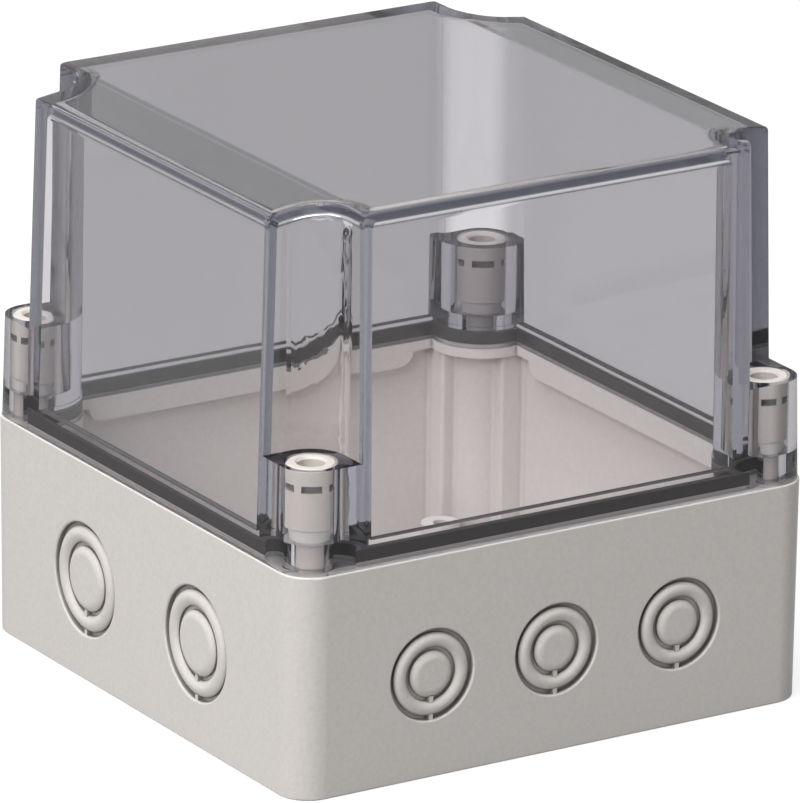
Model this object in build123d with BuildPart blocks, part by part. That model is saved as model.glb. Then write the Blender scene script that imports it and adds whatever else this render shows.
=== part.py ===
"""Square electrical enclosure: a grey base with knock-outs and a high clear cover on four screws."""

import os
from math import cos, radians, sin, sqrt, tan

from build123d import *

os.makedirs("parts", exist_ok=True)

# Overall sizes, in millimetres
side = 130.0                 # outside length of each side at the parting line
base_height = 50.0           # from the wall face to the parting line
cover_height = 77.5          # from the parting line to the top of the cover
corner_radius = 7.5          # upright corners of the base and of the cover's screw bosses
screw_inset = 8.0            # from each side to a cover screw's axis

# Base
base_draft = 0.4             # degrees, the base narrows towards the wall face
base_wall = 3.2              # side wall under the gasket shelf
base_floor = 3.0
rim_round = 0.4              # outer edge at the parting line
foot_round = 0.5             # outer edge at the wall face
shelf_height = 5.5           # gasket shelf along the sides
shelf_lip = 2.2              # the same shelf where it rounds a screw column
shelf_end_gap = 5.0          # from the round of a corner to the end of the tall shelf
shelf_end_radius = 3.5
column_radius = 7.2          # round column under each cover screw
rib_reach = 10.6             # from a screw's axis to the end of its column's rib
rib_depth = 5.8              # from the side wall to the rib's inner face
column_round = 0.8           # moulded round on the columns and ribs

# Seal between base and cover
seal_inset = 4.1             # from each side to the middle of the gasket
seal_radius = 10.0           # from a screw's axis to the middle of the gasket
rim_inset = 5.8              # from each side to the inner edge of both sealing rims
rim_radius = 11.7            # from a screw's axis to the same edge
gasket_width = 2.0
gasket_height = 2.4
groove_fit = 0.1             # gap each side of the gasket in its groove
tongue_width = 1.6           # tongue of the base that presses on the gasket
tongue_height = 1.2

# Cover
cover_draft = 1.55           # degrees, the cover narrows towards its top
cover_setback = 0.3          # from the base's side to the cover's, at the parting line
cover_wall = 3.4
cover_roof = 3.4
cover_rim_height = 5.2       # thick sealing rim, above the parting line
notch_radius = 8.2           # corner notch about a screw's axis, at the top of a boss
notch_draft = 0.5            # degrees, the notches widen towards the top
notch_round = 0.5            # upright edges of the notches
slope_width = 18.0           # sloped strip of the top, from the left and right sides inward
slope_angle = 8.0            # degrees
slope_round = 3.0            # where a strip meets the flat middle of the top
roof_round = 0.9             # outer edge of the top
roof_inner_round = 1.6       # inner corner under the top
boss_height = 23.0           # screw boss, above the parting line
boss_floor = 6.5             # material under a screw's bush

# Cover screws and their bushes
head_radius = 5.4
head_gap = 0.3               # between a head and its bore
head_chamfer = 0.5
recess_radius = 3.0          # round hole down the middle of a head
recess_depth = 9.5
recess_mouth = 0.5           # chamfer at the mouth of that hole
slot_width = 1.2             # driver slot in the floor of that hole
slot_depth = 1.6
window_count = 6
window_width = 4.0
window_height = 1.6
window_drop = 3.6            # from the top of a head to its windows
window_depth = 1.7
shank_radius = 3.0
shank_gap = 0.4              # between the shank and its hole in the cover
thread_radius = 2.6
thread_gap = 0.3             # between the thread and its hole in the base
thread_length = 18.0         # below the parting line
thread_tip = 1.2             # chamfer at the screw's end
thread_mouth = 0.7           # countersink of the threaded hole
hole_spare_depth = 9.0       # room under a screw's end
bush_radius = 4.9
bush_foot_radius = 4.3
bush_height = 3.0            # from its seat in the cover to the head above it
bush_round = 0.5
bush_gap = 0.06              # running gap between a bush and its screw

# Holes and bosses in the floor
fixing_spacing_x = 100.0     # wall fixing holes
fixing_spacing_y = 70.0
fixing_hole_radius = 2.4
fixing_collar_radius = 5.0
fixing_collar_height = 1.5
plate_spacing_x = 84.0       # bosses for a mounting plate
plate_spacing_y = 98.0
plate_boss_radius = 4.5
plate_boss_height = 7.0
plate_hole_radius = 1.8
plate_hole_depth = 6.5

# Knock-outs
knockout_height = 23.2       # centre above the wall face
small_outer_radius = 10.25
small_inner_radius = 6.15
small_pitch = 31.2
small_count = 3
large_outer_radius = 12.75
large_inner_radius = 8.25
large_pitch = 46.7
large_count = 2
groove_width = 1.0
groove_depth = 1.5
groove_mouth = 0.5           # round of the wall's edge about an outer groove
crown_height = 0.1           # how far rings and discs stand proud of the wall
crown_drop = 0.85            # how far their edges fall away
crown_shoulder = 1.8         # width of a disc's rounded shoulder
tab_width = 1.0              # small bridge over each groove
tab_drop = 0.35

# Sizes that follow
half = side / 2
inner_half = half - base_wall
foot_inset = base_height * tan(radians(base_draft))
screw_offset = half - screw_inset
screw_axes = [(x, y) for x in (-screw_offset, screw_offset) for y in (-screw_offset, screw_offset)]
total_height = base_height + cover_height
rim_half = half - rim_inset
boss_top = base_height + boss_height
boss_seat = base_height + boss_floor
cover_side = side - 2 * cover_setback
notch_wall_radius = notch_radius + cover_wall - boss_height * tan(radians(notch_draft))
head_bottom = boss_seat + bush_height
gasket_bottom = base_height + tongue_height


def scalloped_plan(height, inset, radius):
    """Square plan at a height, set in from the sides, with a round notch about each screw."""
    with BuildSketch(Plane.XY.offset(height)) as plan:
        Rectangle(side - 2 * inset, side - 2 * inset)
        with Locations(*screw_axes):
            Circle(radius, mode=Mode.SUBTRACT)
    return plan


def seal_band(height, width):
    """Closed band of a given width along the middle line of the gasket."""
    inner = scalloped_plan(height, seal_inset + width / 2, seal_radius + width / 2)
    with BuildSketch(Plane.XY.offset(height)) as band:
        Rectangle(side - 2 * seal_inset + width, side - 2 * seal_inset + width)
        with Locations(*screw_axes):
            Circle(seal_radius - width / 2, mode=Mode.SUBTRACT)
        add(inner.sketch_local, mode=Mode.SUBTRACT)
    return band


def columns_plan(height):
    """The four screw columns, each with ribs that tie it to its two walls."""
    rib_start = screw_offset - rib_reach
    rib_face = inner_half - rib_depth
    with BuildSketch(Plane.XY.offset(height)) as columns:
        with Locations((rib_start, rib_face)):
            Rectangle(half - rib_start, half - rib_face, align=(Align.MIN, Align.MIN))
        with Locations((rib_face, rib_start)):
            Rectangle(half - rib_face, half - rib_start, align=(Align.MIN, Align.MIN))
        with Locations((screw_offset, screw_offset)):
            Circle(column_radius)
        mirror(about=Plane.YZ)
        mirror(about=Plane.XZ)
    return columns


def corner_notches(height, radius):
    """Notches at the corners, each rounded about a screw's axis and open to both sides."""
    with BuildSketch(Plane.XY.offset(height)) as notches:
        with GridLocations(2 * (screw_offset + radius), 2 * (screw_offset + radius), 2, 2):
            RectangleRounded(4 * radius, 4 * radius, radius)
    return notches


def roof_slopes(top):
    """What the sloped strips along the left and right sides take off a flat top."""
    with BuildSketch(Plane.XZ) as slopes:
        with BuildLine():
            Polyline(
                (half - slope_width, top),
                (half, top),
                (half, top - slope_width * tan(radians(slope_angle))),
                close=True,
            )
        make_face()
        mirror(about=Plane.YZ)
    return slopes


def slope_creases(hood):
    """The two edges where the sloped strips meet the flat middle of the top."""
    middle = half - slope_width
    return hood.edges().filter_by(Axis.Y).filter_by(lambda edge: abs(abs(edge.center().X) - middle) < 0.01)


def roof_rim(hood):
    """The edges all around the top of a hood."""
    roof = hood.faces().filter_by(lambda face: face.normal_at().Z > 0.9 and face.center().Z > boss_top + 1)
    edges = roof.edges()
    return edges.filter_by(lambda edge: sum(edge.is_same(other) for other in edges) == 1)


def upright_edges(hood):
    """The sharp edges where the corner notches meet the sides."""
    least_height = (cover_height - boss_height) / 2
    tall = hood.edges().filter_by(lambda edge: edge.bounding_box().size.Z > least_height)
    return tall.filter_by(lambda edge: max(abs(edge.center().X), abs(edge.center().Y)) > screw_offset + 1)


def side_plane(angle, distance, tilt=0.0, height=0.0):
    """Plane on the side that faces an angle, at a distance from the middle, looking outward."""
    along = (-sin(radians(angle)), cos(radians(angle)), 0)
    outward = (
        cos(radians(angle)) * cos(radians(tilt)),
        sin(radians(angle)) * cos(radians(tilt)),
        -sin(radians(tilt)),
    )
    origin = (cos(radians(angle)) * distance, sin(radians(angle)) * distance, height)
    return Plane(origin=origin, x_dir=along, z_dir=outward)


def knockout_plane(angle, across):
    """Plane on a drafted side of the base, centred on one knock-out."""
    wall_distance = half - tan(radians(base_draft)) * (base_height - knockout_height)
    plane = side_plane(angle, wall_distance, base_draft, knockout_height)
    return Plane(origin=plane.from_local_coords((across, 0, 0)), x_dir=plane.x_dir, z_dir=plane.z_dir)


def knockout(plane, outer_radius, inner_radius):
    """Two round grooves with a crowned ring and disc between them, held by small tabs."""
    ring_outer = outer_radius - groove_width
    disc_radius = inner_radius - groove_width
    section = Plane(origin=plane.origin, x_dir=plane.x_dir, z_dir=plane.x_dir.cross(plane.z_dir))
    with BuildSketch(section) as recess:
        with BuildLine():
            Polyline(
                (outer_radius, -groove_mouth),
                (outer_radius, -groove_depth),
                (0, -groove_depth),
                (0, 1),
                (outer_radius + groove_mouth, 1),
                (outer_radius + groove_mouth, 0),
            )
            TangentArc(
                (outer_radius + groove_mouth, 0),
                (outer_radius, -groove_mouth),
                tangent=(-1, 0),
            )
        make_face()
    revolve(recess.sketch, axis=Axis(plane.origin, plane.z_dir), mode=Mode.SUBTRACT)
    with BuildSketch(section) as crowns:
        with BuildLine():
            Polyline(
                (inner_radius, -crown_drop),
                (inner_radius, -groove_depth),
                (ring_outer, -groove_depth),
                (ring_outer, -crown_drop),
            )
            ThreePointArc(
                (ring_outer, -crown_drop),
                ((inner_radius + ring_outer) / 2, crown_height),
                (inner_radius, -crown_drop),
            )
        make_face()
        with BuildLine():
            Polyline(
                (disc_radius, -crown_drop),
                (disc_radius, -groove_depth),
                (0, -groove_depth),
                (0, crown_height),
                (disc_radius - crown_shoulder, crown_height),
            )
            TangentArc(
                (disc_radius - crown_shoulder, crown_height),
                (disc_radius, -crown_drop),
                tangent=(1, 0),
            )
        make_face()
    revolve(crowns.sketch, axis=Axis(plane.origin, plane.z_dir))
    with BuildSketch(plane.offset(-groove_depth)) as tabs:
        for groove_outer in (outer_radius, inner_radius):
            with Locations((0, -groove_outer + groove_width / 2)):
                Rectangle(tab_width, groove_width * 1.5)
    extrude(tabs.sketch, amount=groove_depth - tab_drop)


# Base: a drafted tub with columns, a gasket shelf and knock-outs
with BuildPart() as base:
    with BuildSketch():
        RectangleRounded(side - 2 * foot_inset, side - 2 * foot_inset, corner_radius - foot_inset)
    extrude(amount=base_height, taper=-base_draft)
    fillet(base.faces().sort_by(Axis.Z)[-1].edges(), rim_round)
    fillet(base.faces().sort_by(Axis.Z)[0].edges(), foot_round)

    # Hollow, below the lip of the shelf
    columns = columns_plan(base_floor)
    with BuildSketch(Plane.XY.offset(base_floor)) as hollow_plan:
        Rectangle(2 * inner_half, 2 * inner_half)
        add(columns.sketch_local, mode=Mode.SUBTRACT)
        fillet(hollow_plan.vertices(), column_round)
    extrude(amount=base_height - shelf_lip - base_floor, mode=Mode.SUBTRACT)

    # Opening through the lip, which follows the gasket
    opening = scalloped_plan(base_height, rim_inset, rim_radius)
    extrude(opening.sketch, amount=-shelf_lip, mode=Mode.SUBTRACT)

    # Taller shelf along the middle of each side
    corner_reach = sqrt(rim_radius**2 - (rim_half - screw_offset) ** 2)
    shelf_length = 2 * (screw_offset - corner_reach - shelf_end_gap)
    for angle in (0, 90, 180, 270):
        with BuildSketch(side_plane(angle, inner_half)) as shelf_face:
            with Locations((0, base_height)):
                Rectangle(shelf_length, shelf_height, align=(Align.CENTER, Align.MAX))
            fillet(shelf_face.vertices().group_by(Axis.Y)[0], shelf_end_radius)
        extrude(amount=-(inner_half - rim_half))

    # Tongue under the gasket
    extrude(seal_band(base_height, tongue_width).sketch, amount=tongue_height)

    # Threaded holes in the columns
    with Locations(*[(x, y, base_height) for x, y in screw_axes]):
        CounterSinkHole(
            thread_radius + thread_gap,
            thread_radius + thread_gap + thread_mouth,
            depth=thread_length + hole_spare_depth,
            counter_sink_angle=90,
        )

    # Mounting plate bosses and wall fixing holes in the floor
    with BuildSketch(Plane.XY.offset(base_floor)):
        with GridLocations(plate_spacing_x, plate_spacing_y, 2, 2):
            Circle(plate_boss_radius)
    extrude(amount=plate_boss_height)
    with Locations((0, 0, base_floor + plate_boss_height)):
        with GridLocations(plate_spacing_x, plate_spacing_y, 2, 2):
            Hole(plate_hole_radius, depth=plate_hole_depth)
    with BuildSketch(Plane.XY.offset(base_floor)):
        with GridLocations(fixing_spacing_x, fixing_spacing_y, 2, 2):
            Circle(fixing_collar_radius)
    extrude(amount=fixing_collar_height)
    with Locations((0, 0, base_floor + fixing_collar_height)):
        with GridLocations(fixing_spacing_x, fixing_spacing_y, 2, 2):
            Hole(fixing_hole_radius, depth=base_floor + fixing_collar_height)

    # Knock-outs: small ones front and back, large ones left and right
    for angle in (90, 270):
        for number in range(small_count):
            across = (number - (small_count - 1) / 2) * small_pitch
            knockout(knockout_plane(angle, across), small_outer_radius, small_inner_radius)
    for angle in (0, 180):
        for number in range(large_count):
            across = (number - (large_count - 1) / 2) * large_pitch
            knockout(knockout_plane(angle, across), large_outer_radius, large_inner_radius)

# Room inside the cover, narrower within the sealing rim
with BuildPart() as cover_room:
    with BuildSketch(Plane.XY.offset(base_height)):
        Rectangle(cover_side - 2 * cover_wall, cover_side - 2 * cover_wall)
    extrude(amount=cover_height - cover_roof, taper=cover_draft)
    room_notches = corner_notches(base_height, notch_wall_radius)
    extrude(room_notches.sketch, amount=cover_height, taper=-notch_draft, mode=Mode.SUBTRACT)
    room_slopes = roof_slopes(total_height - cover_roof)
    extrude(room_slopes.sketch, amount=half, both=True, mode=Mode.SUBTRACT)
    fillet(slope_creases(cover_room), slope_round)
    fillet(roof_rim(cover_room), roof_inner_round)
    split(bisect_by=Plane.XY.offset(base_height + cover_rim_height))
    cover_mouth = scalloped_plan(base_height, rim_inset, rim_radius)
    extrude(cover_mouth.sketch, amount=cover_rim_height)

# Cover: a drafted clear hood, cut away at the corners above the four screw bosses
with BuildPart() as cover:
    with BuildSketch(Plane.XY.offset(base_height)):
        RectangleRounded(cover_side, cover_side, corner_radius)
    extrude(amount=cover_height, taper=cover_draft)
    notches = corner_notches(boss_top, notch_radius)
    extrude(notches.sketch, amount=cover_height, taper=-notch_draft, mode=Mode.SUBTRACT)
    slopes = roof_slopes(total_height)
    extrude(slopes.sketch, amount=half, both=True, mode=Mode.SUBTRACT)
    fillet(slope_creases(cover), slope_round)
    fillet(roof_rim(cover), roof_round)
    fillet(upright_edges(cover), notch_round)
    add(cover_room.part, mode=Mode.SUBTRACT)
    groove = seal_band(base_height, gasket_width + 2 * groove_fit)
    extrude(groove.sketch, amount=tongue_height + gasket_height, mode=Mode.SUBTRACT)
    with Locations(*[(x, y, boss_top) for x, y in screw_axes]):
        CounterBoreHole(
            shank_radius + shank_gap,
            head_radius + head_gap,
            counter_bore_depth=boss_height - boss_floor,
            depth=boss_height,
        )

# Gasket: one closed loop that seals inside the screws
with BuildPart() as gasket:
    extrude(seal_band(gasket_bottom, gasket_width).sketch, amount=gasket_height)

# Cover screw: hollow windowed head, smooth shank and a thinner threaded end
with BuildPart() as screw:
    with BuildSketch(Plane.XZ):
        with BuildLine():
            Polyline(
                (0, boss_top - recess_depth),
                (recess_radius, boss_top - recess_depth),
                (recess_radius, boss_top - recess_mouth),
                (recess_radius + recess_mouth, boss_top),
                (head_radius - head_chamfer, boss_top),
                (head_radius, boss_top - head_chamfer),
                (head_radius, head_bottom),
                (shank_radius, head_bottom),
                (shank_radius, base_height + thread_mouth),
                (thread_radius, base_height),
                (thread_radius, base_height - thread_length + thread_tip),
                (thread_radius - thread_tip, base_height - thread_length),
                (0, base_height - thread_length),
                close=True,
            )
        make_face()
    revolve(axis=Axis.Z)
    with Locations((0, 0, boss_top - window_drop - window_height / 2)):
        with PolarLocations(head_radius, window_count):
            Box(2 * window_depth, window_width, window_height, mode=Mode.SUBTRACT)
    with Locations((0, 0, boss_top - recess_depth)):
        Box(2 * recess_radius, slot_width, 2 * slot_depth, mode=Mode.SUBTRACT)

# Bush: the collar under each head, which keeps the screw in the cover
with BuildPart() as bush:
    with BuildSketch(Plane.XZ) as bush_section:
        with BuildLine():
            Polyline(
                (shank_radius + bush_gap, boss_seat),
                (bush_foot_radius, boss_seat),
                (bush_radius, head_bottom),
                (shank_radius + bush_gap, head_bottom),
                close=True,
            )
        make_face()
        fillet(bush_section.vertices().group_by(Axis.X)[-1], bush_round)
    revolve(axis=Axis.Z)

base.part.label = "base"
export_step(base.part, "parts/base.step")
cover.part.label = "cover"
export_step(cover.part, "parts/cover.step")
gasket.part.label = "gasket"
export_step(gasket.part, "parts/gasket.step")

for number, (x, y) in enumerate(screw_axes, start=1):
    for piece, name in ((screw.part, "cover_screw"), (bush.part, "screw_bush")):
        placed = piece.moved(Location((x, y, 0)))
        placed.label = f"{name}_{number}"
        export_step(placed, f"parts/{name}_{number}.step")
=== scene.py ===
"""Looks of a square electrical enclosure: moulded grey base, tinted clear cover, gasket and screws."""

from math import cos, pi, radians, sin

import bmesh
import bpy
from mathutils import Matrix, Vector


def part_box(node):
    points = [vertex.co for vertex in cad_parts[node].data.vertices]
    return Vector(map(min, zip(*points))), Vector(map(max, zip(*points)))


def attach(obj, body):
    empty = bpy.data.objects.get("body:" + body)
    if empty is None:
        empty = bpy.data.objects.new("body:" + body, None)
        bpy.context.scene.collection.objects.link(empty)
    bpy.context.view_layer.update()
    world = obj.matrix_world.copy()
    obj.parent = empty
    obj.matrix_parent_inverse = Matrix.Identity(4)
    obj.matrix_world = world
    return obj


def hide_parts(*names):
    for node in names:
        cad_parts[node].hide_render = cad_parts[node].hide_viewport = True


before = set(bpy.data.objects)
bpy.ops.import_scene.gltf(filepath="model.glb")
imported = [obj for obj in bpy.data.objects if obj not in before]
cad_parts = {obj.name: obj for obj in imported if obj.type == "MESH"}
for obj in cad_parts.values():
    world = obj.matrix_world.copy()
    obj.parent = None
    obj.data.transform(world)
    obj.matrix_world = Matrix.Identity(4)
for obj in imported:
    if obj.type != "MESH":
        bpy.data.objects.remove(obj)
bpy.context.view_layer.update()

# Camera: the photograph's long lens, which looks at the corner between the front and the left side
image_width = 800                       # the photograph's, in pixels
focal_pixels = 9642                     # its lens, in the same pixels
sensor_width = 36.0                     # millimetres
camera_distance = 2.090                 # metres, as all lengths below
camera_azimuth = radians(-32.29)
camera_elevation = radians(18.73)
camera_roll = radians(0.725)
camera_target = Vector((0.0, 0.0, 0.06))
target_right = 0.00062                  # how far right of the target the lens looks
target_up = -0.00021
farthest_seen = 20.0

# Lamps: soft squares. Azimuth 0 is in front of the object, at -Y, and 90 degrees is at +X
lamps = {
    "key": {
        "azimuth": radians(-62),
        "elevation": radians(35),
        "distance": 1.9,
        "size": 1.1,
        "power": 25.2,
    },
    "top": {
        "azimuth": radians(-85),
        "elevation": radians(78),
        "distance": 1.9,
        "size": 1.2,
        "power": 31.0,
    },
    "fill": {
        "azimuth": radians(25),
        "elevation": radians(30),
        "distance": 2.2,
        "size": 1.6,
        "power": 1.5,
    },
}

# World and floor
white = (1, 1, 1, 1)
world_light = 0.18
floor_reach = 6.0
floor_glow = 0.80                       # what an eye or a mirror sees, and other surfaces don't
floor_grey = 0.25

# Colours below are linear, and scales are in waves per metre
noise_low = 0.3                         # nearly all of a noise lies between these
noise_high = 0.7

# Moulded grey plastics
base_grey = (0.692, 0.658, 0.630)
screw_grey = (0.670, 0.625, 0.580)
bush_grey = (0.860, 0.830, 0.790)
grain_strength = 0.6
mottle_share = 0.6                      # waves of mottling to one of grain
gloss_scale = 60.0
gloss_change = 0.04                     # how far the roughness goes either way
plastic_specular = 0.4
groove_reach = 0.0028                   # how far round a point narrow hollows paint shade on it
groove_share = 0.32                     # what is left of the colour under the deepest painted shade
groove_closed = 0.25                    # openness at which a hollow is at its darkest
groove_open = 0.85                      # and from which on nothing is darkened

# Rubber
gasket_black = (0.040, 0.036, 0.036)
skin_scale = 2500.0
skin_strength = 0.5
skin_depth = 0.00004
skin_lighter = 1.6                      # how much paler its palest spots are
rubber_roughness = 0.55
rubber_specular = 0.2

# Clear cover
cover_tint = (0.965, 0.957, 0.963)      # what each face of a front or left wall passes
# Painted shade: shares that darken the right and back walls, the roof and most of all its slopes
right_shade_share = 0.79                      # of that, what a face of the right wall passes, with painted shade
back_shade_share = 0.72
roof_shade_share = 0.98
slope_shade_share = 0.79
wall_start = 0.054                      # from the middle to where a wall's painted shade begins
wall_end = 0.058
roof_start = 0.6                        # upward part of the normal where a wall turns into roof
roof_end = 0.9
slope_start = 0.03                      # sideways part of the normal where the roof turns into slope
slope_end = 0.11
cover_depth_tint = (0.30, 0.30, 0.41)   # further loss along a path in the plastic
cover_depth_density = 40.0              # per metre
cover_ior = 1.58
outer_sheen = 0.35                      # share of the mirrored light that is left, outside
inner_sheen = 0.80                      # and inside the plastic
trapped_bounces = 2.5                   # light caught inside the plastic leaves it after these
ripple_scale = 45.0
ripple_strength = 0.25
ripple_depth = 0.00006
straight_share = 0.99                   # what each face passes of the light that goes straight on

# Gasket
weld_distance = 0.000002                # joins the CAD mesh's doubled corners
gasket_growth = 0.00015                 # closes the 0.1 mm of air that the CAD solids leave

# Screw threads
thread_pitch = 0.002
thread_core = 0.0026                    # radius of the plain cylinder under the ridge
thread_ridge = 0.00026                  # from there up to the crest
thread_sunk = 0.0003                    # and down to the foot
foot_half = 0.42 * thread_pitch
crest_half = 0.08 * thread_pitch
thread_tip_gap = 0.0016                 # from the screw's tip to the first turn
thread_top_gap = 0.0022                 # from the last turn up to the top of the base
steps_per_turn = 36
fade_steps = 18                         # the ridge rises and sinks within these at its ends


def view_axes():
    """Right, up and forward directions of the camera."""
    forward = Vector((
        -sin(camera_azimuth) * cos(camera_elevation),
        cos(camera_azimuth) * cos(camera_elevation),
        -sin(camera_elevation),
    ))
    level_right = Vector((cos(camera_azimuth), sin(camera_azimuth), 0))
    level_up = level_right.cross(forward)
    right = level_right * cos(camera_roll) + level_up * sin(camera_roll)
    up = level_up * cos(camera_roll) - level_right * sin(camera_roll)
    return right, up, forward


def make_camera():
    """The camera of the photograph."""
    right, up, forward = view_axes()
    data = bpy.data.cameras.new("camera")
    data.sensor_fit = "HORIZONTAL"
    data.sensor_width = sensor_width
    data.lens = focal_pixels * sensor_width / image_width
    data.clip_end = farthest_seen
    camera = bpy.data.objects.new("camera", data)
    place = camera_target + right * target_right + up * target_up - forward * camera_distance
    turn = Matrix((right, up, -forward)).transposed()
    camera.matrix_world = Matrix.Translation(place) @ turn.to_4x4()
    bpy.context.scene.collection.objects.link(camera)
    bpy.context.scene.camera = camera


def direction(azimuth, elevation):
    """Unit direction from the object towards a lamp."""
    return Vector((
        sin(azimuth) * cos(elevation),
        -cos(azimuth) * cos(elevation),
        sin(elevation),
    ))


def make_lamp(name, azimuth, elevation, distance, size, power):
    """A square soft lamp that looks at the middle of the object."""
    data = bpy.data.lights.new(name, "AREA")
    data.shape = "SQUARE"
    data.size = size
    data.energy = power
    lamp = bpy.data.objects.new(name, data)
    towards = direction(azimuth, elevation)
    lamp.matrix_world = (
        Matrix.Translation(camera_target + towards * distance)
        @ towards.to_track_quat("Z", "Y").to_matrix().to_4x4()
    )
    bpy.context.scene.collection.objects.link(lamp)


def feed(links, value, socket):
    """Joins another node's output to a socket, or sets the socket to a plain value."""
    if isinstance(value, bpy.types.NodeSocket):
        links.new(value, socket)
    else:
        socket.default_value = value


def maths(nodes, links, operation, first, second):
    """Two values put through a maths node."""
    node = nodes.new("ShaderNodeMath")
    node.operation = operation
    feed(links, first, node.inputs[0])
    feed(links, second, node.inputs[1])
    return node.outputs[0]


def stretched(nodes, links, source, low, high, new_low=0.0, new_high=1.0, curve="LINEAR"):
    """The source's range from low to high, stretched to a new one and held at its ends."""
    stretch = nodes.new("ShaderNodeMapRange")
    stretch.interpolation_type = curve
    stretch.inputs["From Min"].default_value = low
    stretch.inputs["From Max"].default_value = high
    stretch.inputs["To Min"].default_value = new_low
    stretch.inputs["To Max"].default_value = new_high
    links.new(source, stretch.inputs["Value"])
    return stretch.outputs["Result"]


def blended(nodes, links, blend, share, under, over):
    """Two colours blended: only the one under where the share is 0."""
    mix = nodes.new("ShaderNodeMix")
    mix.data_type = "RGBA"
    mix.blend_type = blend
    feed(links, share, mix.inputs["Factor"])
    feed(links, under, mix.inputs["A"])
    feed(links, over, mix.inputs["B"])
    return mix.outputs["Result"]


def mixed(nodes, links, share, first, second):
    """Two shaders mixed: only the first where the share is 0."""
    mix = nodes.new("ShaderNodeMixShader")
    links.new(share, mix.inputs[0])
    links.new(first, mix.inputs[1])
    links.new(second, mix.inputs[2])
    return mix.outputs[0]


def noise(nodes, links, scale, detail=2.0, roughness=0.5):
    """Noise over the object's own coordinates."""
    place = nodes.new("ShaderNodeTexCoord")
    texture = nodes.new("ShaderNodeTexNoise")
    texture.inputs["Scale"].default_value = scale
    texture.inputs["Detail"].default_value = detail
    texture.inputs["Roughness"].default_value = roughness
    links.new(place.outputs["Object"], texture.inputs["Vector"])
    return texture.outputs["Fac"]


def spread(nodes, links, source, low, high):
    """A noise, stretched so that it runs from low to high."""
    return stretched(nodes, links, source, noise_low, noise_high, low, high)


def bumped(nodes, links, height, strength, depth):
    """The surface's normals, turned as a height over it would turn them."""
    bump = nodes.new("ShaderNodeBump")
    bump.inputs["Strength"].default_value = strength
    bump.inputs["Distance"].default_value = depth
    links.new(height, bump.inputs["Height"])
    return bump.outputs["Normal"]


def seen_ray(nodes, links):
    """1 for rays from the camera, mirrors and glass, and 0 for light on surfaces."""
    path = nodes.new("ShaderNodeLightPath").outputs
    seen = maths(nodes, links, "MAXIMUM", path["Is Camera Ray"], path["Is Glossy Ray"])
    return maths(nodes, links, "MAXIMUM", seen, path["Is Transmission Ray"])


def make_world():
    """White to the eye, and a plain grey dome of light to the surfaces."""
    world = bpy.data.worlds.new("studio")
    bpy.context.scene.world = world
    world.use_nodes = True
    nodes, links = world.node_tree.nodes, world.node_tree.links
    nodes.clear()
    light = nodes.new("ShaderNodeBackground")
    light.inputs["Color"].default_value = white
    light.inputs["Strength"].default_value = world_light
    seen = nodes.new("ShaderNodeBackground")
    seen.inputs["Color"].default_value = white
    both = mixed(nodes, links, seen_ray(nodes, links), light.outputs[0], seen.outputs[0])
    output = nodes.new("ShaderNodeOutputWorld")
    links.new(both, output.inputs["Surface"])


def new_material(name):
    """A node material with one Principled shader."""
    material = bpy.data.materials.new(name)
    material.use_nodes = True
    nodes, links = material.node_tree.nodes, material.node_tree.links
    return material, nodes, links, nodes["Principled BSDF"]


def make_floor():
    """A pale floor that reads as white and keeps the object's shadow."""
    mesh = bpy.data.meshes.new("floor")
    corners = [
        (-floor_reach, -floor_reach, 0),
        (floor_reach, -floor_reach, 0),
        (floor_reach, floor_reach, 0),
        (-floor_reach, floor_reach, 0),
    ]
    mesh.from_pydata(corners, [], [(0, 1, 2, 3)])
    floor = bpy.data.objects.new("floor", mesh)
    bpy.context.scene.collection.objects.link(floor)
    material, nodes, links, shader = new_material("floor")
    nodes.remove(shader)
    matt = nodes.new("ShaderNodeBsdfDiffuse")
    matt.inputs["Color"].default_value = (floor_grey, floor_grey, floor_grey, 1)
    glow = nodes.new("ShaderNodeEmission")
    glow.inputs["Color"].default_value = white
    strength = maths(nodes, links, "MULTIPLY", seen_ray(nodes, links), floor_glow)
    links.new(strength, glow.inputs["Strength"])
    both = nodes.new("ShaderNodeAddShader")
    links.new(matt.outputs[0], both.inputs[0])
    links.new(glow.outputs[0], both.inputs[1])
    links.new(both.outputs[0], nodes["Material Output"].inputs["Surface"])
    mesh.materials.append(material)


def painted_hollow_shade(nodes, links):
    """Painted shade: 1 on open surfaces, and less in narrow grooves and inner corners."""
    shade = nodes.new("ShaderNodeAmbientOcclusion")
    shade.samples = 8
    shade.only_local = True
    shade.inputs["Distance"].default_value = groove_reach
    return stretched(
        nodes, links, shade.outputs["AO"], groove_closed, groove_open, groove_share, 1.0, "SMOOTHSTEP"
    )


def plastic(name, colour, roughness, grain_scale, grain_depth, speckle):
    """Moulded plastic: fine spark-eroded grain, faint mottling, slightly uneven gloss and painted
    shade in hollows.
    """
    material, nodes, links, shader = new_material(name)
    grain = noise(nodes, links, grain_scale, detail=3.0)
    links.new(bumped(nodes, links, grain, grain_strength, grain_depth), shader.inputs["Normal"])
    mottle = noise(nodes, links, grain_scale * mottle_share, detail=4.0, roughness=0.7)
    darker = (*[c * (1 - speckle) for c in colour], 1)
    lighter = (*[c * (1 + speckle) for c in colour], 1)
    tone = blended(nodes, links, "MIX", spread(nodes, links, mottle, 0.0, 1.0), darker, lighter)
    # painted shade in grooves and inner corners
    shaded = blended(nodes, links, "MULTIPLY", 1.0, tone, painted_hollow_shade(nodes, links))
    links.new(shaded, shader.inputs["Base Color"])
    cloud = noise(nodes, links, gloss_scale)
    gloss = spread(nodes, links, cloud, roughness - gloss_change, roughness + gloss_change)
    links.new(gloss, shader.inputs["Roughness"])
    shader.inputs["Specular IOR Level"].default_value = plastic_specular
    return material


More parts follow.
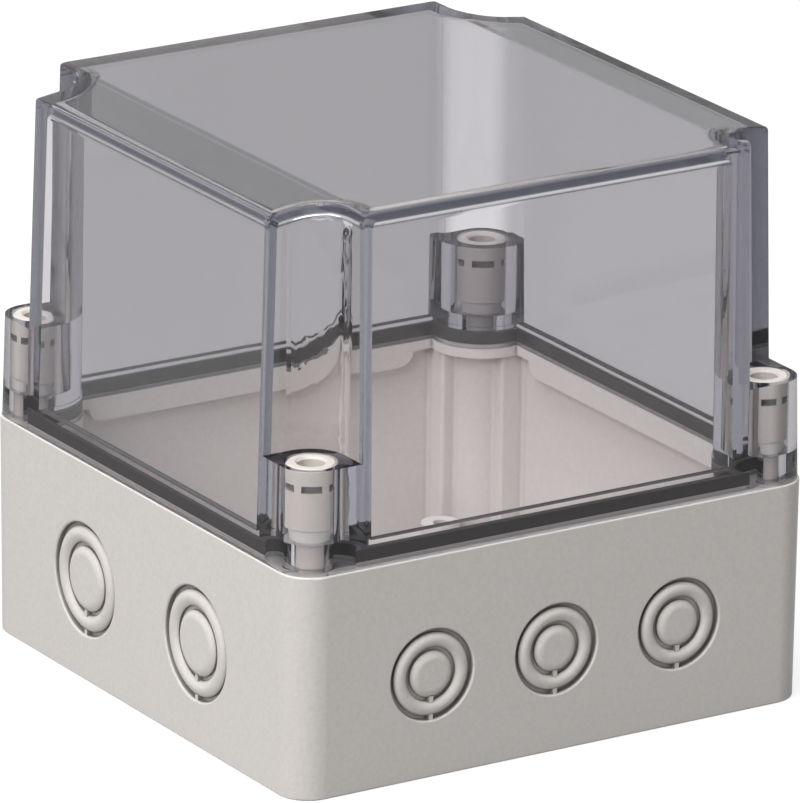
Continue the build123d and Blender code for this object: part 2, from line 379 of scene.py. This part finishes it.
def rubber(name, colour):
    """Matt black rubber with a fine skin."""
    material, nodes, links, shader = new_material(name)
    skin = noise(nodes, links, skin_scale, detail=3.0)
    links.new(bumped(nodes, links, skin, skin_strength, skin_depth), shader.inputs["Normal"])
    darker = (*colour, 1)
    lighter = (*[c * skin_lighter for c in colour], 1)
    tone = blended(nodes, links, "MIX", spread(nodes, links, skin, 0.0, 1.0), darker, lighter)
    links.new(tone, shader.inputs["Base Color"])
    shader.inputs["Roughness"].default_value = rubber_roughness
    shader.inputs["Specular IOR Level"].default_value = rubber_specular
    return material


def tint_and_painted_shade(nodes, links):
    """The cover's tint, with painted shade on the right and back walls and the roof, most on its
    slopes.
    """
    geometry = nodes.new("ShaderNodeNewGeometry")
    size = nodes.new("ShaderNodeVectorMath")
    size.operation = "ABSOLUTE"
    links.new(geometry.outputs["Normal"], size.inputs[0])
    facing = nodes.new("ShaderNodeSeparateXYZ")
    links.new(size.outputs[0], facing.inputs[0])
    place = nodes.new("ShaderNodeTexCoord")
    spot = nodes.new("ShaderNodeSeparateXYZ")
    links.new(place.outputs["Object"], spot.inputs[0])

    def rise(source, low, high):
        return stretched(nodes, links, source, low, high, curve="SMOOTHSTEP")

    def painted_darker(under, share, mask):
        return blended(nodes, links, "MULTIPLY", mask, under, (share, share, share, 1))

    roof = rise(facing.outputs["Z"], roof_start, roof_end)
    upright = rise(facing.outputs["Z"], roof_end, roof_start)
    sideways = rise(facing.outputs["X"], slope_start, slope_end)
    rightmost = rise(spot.outputs["X"], wall_start, wall_end)
    rearmost = rise(spot.outputs["Y"], wall_start, wall_end)
    colour = (*cover_tint, 1)
    # painted shade on the right and back walls, the roof and most on its slopes
    colour = painted_darker(colour, right_shade_share, maths(nodes, links, "MULTIPLY", upright, rightmost))
    colour = painted_darker(colour, back_shade_share, maths(nodes, links, "MULTIPLY", upright, rearmost))
    colour = painted_darker(colour, roof_shade_share, roof)
    return painted_darker(colour, slope_shade_share / roof_shade_share, maths(nodes, links, "MULTIPLY", roof, sideways))


def glass(nodes, links):
    """Bent and mirrored rays: a dulled mirror outside, and a nearly whole one for rays inside."""
    ripple = noise(nodes, links, ripple_scale, detail=1.0)
    normal = bumped(nodes, links, ripple, ripple_strength, ripple_depth)
    bend = nodes.new("ShaderNodeBsdfRefraction")
    bend.inputs["Roughness"].default_value = 0.0
    bend.inputs["IOR"].default_value = cover_ior
    links.new(tint_and_painted_shade(nodes, links), bend.inputs["Color"])
    links.new(normal, bend.inputs["Normal"])
    inside = nodes.new("ShaderNodeNewGeometry").outputs["Backfacing"]
    sheen = stretched(nodes, links, inside, 0.0, 1.0, outer_sheen, inner_sheen)
    mirror = nodes.new("ShaderNodeBsdfAnisotropic")
    mirror.inputs["Roughness"].default_value = 0.0
    links.new(sheen, mirror.inputs["Color"])
    links.new(normal, mirror.inputs["Normal"])
    edge = nodes.new("ShaderNodeFresnel")
    edge.inputs["IOR"].default_value = cover_ior
    links.new(normal, edge.inputs["Normal"])
    return mixed(nodes, links, edge.outputs[0], bend.outputs[0], mirror.outputs[0])


def straight_ray(nodes, links):
    """1 for light on its way to the pieces inside, and for rays trapped in the plastic."""
    path = nodes.new("ShaderNodeLightPath").outputs
    lighting = maths(nodes, links, "MAXIMUM", path["Is Shadow Ray"], path["Is Diffuse Ray"])
    trapped = maths(nodes, links, "GREATER_THAN", path["Glossy Depth"], trapped_bounces)
    return maths(nodes, links, "MAXIMUM", lighting, trapped)


def clear_plastic(name):
    """Tinted clear plastic. Light on the pieces inside passes straight through it."""
    material, nodes, links, shader = new_material(name)
    nodes.remove(shader)
    straight = nodes.new("ShaderNodeBsdfTransparent")
    straight.inputs["Color"].default_value = (straight_share, straight_share, straight_share, 1)
    surface = mixed(nodes, links, straight_ray(nodes, links), glass(nodes, links), straight.outputs[0])
    output = nodes["Material Output"]
    links.new(surface, output.inputs["Surface"])
    inside = nodes.new("ShaderNodeVolumeAbsorption")
    inside.inputs["Color"].default_value = (*cover_depth_tint, 1)
    inside.inputs["Density"].default_value = cover_depth_density
    links.new(inside.outputs[0], output.inputs["Volume"])
    return material


def dress(node, material):
    """Gives a node of the frame its material."""
    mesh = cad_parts[node].data
    mesh.materials.clear()
    mesh.materials.append(material)


def new_piece(name, mesh, material):
    """A piece of the scene's own, from an edited mesh."""
    data = bpy.data.meshes.new(name)
    mesh.to_mesh(data)
    mesh.free()
    data.materials.append(material)
    piece = bpy.data.objects.new(name, data)
    bpy.context.scene.collection.objects.link(piece)
    return piece


def moulded_gasket(material):
    """The gasket as foam cast into the cover's groove, which touches the clear plastic around it."""
    mesh = bmesh.new()
    mesh.from_mesh(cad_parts["gasket"].data)
    bmesh.ops.remove_doubles(mesh, verts=mesh.verts, dist=weld_distance)
    mesh.normal_update()
    moves = [(vert, vert.normal * vert.calc_shell_factor() * gasket_growth) for vert in mesh.verts]
    for vert, move in moves:
        vert.co += move
    foam = new_piece("gasket_foam", mesh, material)
    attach(foam, "cover")
    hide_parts("gasket")


def screw_thread(number, material):
    """The raised helical thread on the lower end of a cover screw."""
    low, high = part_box(f"cover_screw_{number}")
    centre = (low + high) / 2
    start = low.z + thread_tip_gap
    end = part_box("base")[1].z - thread_top_gap
    steps = round((end - start) / thread_pitch * steps_per_turn)
    mesh = bmesh.new()
    rings = []
    for step in range(steps + 1):
        angle = 2 * pi * step / steps_per_turn
        outward = Vector((cos(angle), sin(angle)))
        height = start + thread_pitch * step / steps_per_turn
        fade = min(1.0, step / fade_steps, (steps - step) / fade_steps)
        foot = thread_core - thread_sunk
        crest = thread_core + thread_ridge * fade
        profile = ((foot, -foot_half), (crest, -crest_half), (crest, crest_half), (foot, foot_half))
        rings.append([
            mesh.verts.new((
                centre.x + outward.x * radius,
                centre.y + outward.y * radius,
                height + rise,
            ))
            for radius, rise in profile
        ])
    for first, second in zip(rings, rings[1:]):
        for corner in range(len(first)):
            after = (corner + 1) % len(first)
            mesh.faces.new((first[corner], second[corner], second[after], first[after]))
    mesh.faces.new(rings[0])
    mesh.faces.new(list(reversed(rings[-1])))
    bmesh.ops.recalc_face_normals(mesh, faces=mesh.faces)
    thread = new_piece(f"screw_thread_{number}", mesh, material)
    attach(thread, f"screw_{number}")


make_camera()
for lamp_name, lamp_values in lamps.items():
    make_lamp(lamp_name, **lamp_values)
make_world()
make_floor()

base_plastic = plastic(
    "base_plastic", base_grey, roughness=0.48, grain_scale=1600.0, grain_depth=0.00003, speckle=0.05
)
screw_plastic = plastic(
    "screw_plastic", screw_grey, roughness=0.38, grain_scale=2200.0, grain_depth=0.00002, speckle=0.04
)
bush_plastic = plastic(
    "bush_plastic", bush_grey, roughness=0.42, grain_scale=2200.0, grain_depth=0.00002, speckle=0.03
)
dress("base", base_plastic)
dress("cover", clear_plastic("cover_plastic"))
moulded_gasket(rubber("gasket_rubber", gasket_black))
for screw_number in range(1, 5):
    dress(f"cover_screw_{screw_number}", screw_plastic)
    dress(f"screw_bush_{screw_number}", bush_plastic)
    screw_thread(screw_number, screw_plastic)

bpy.context.scene.view_settings.view_transform = "Standard"
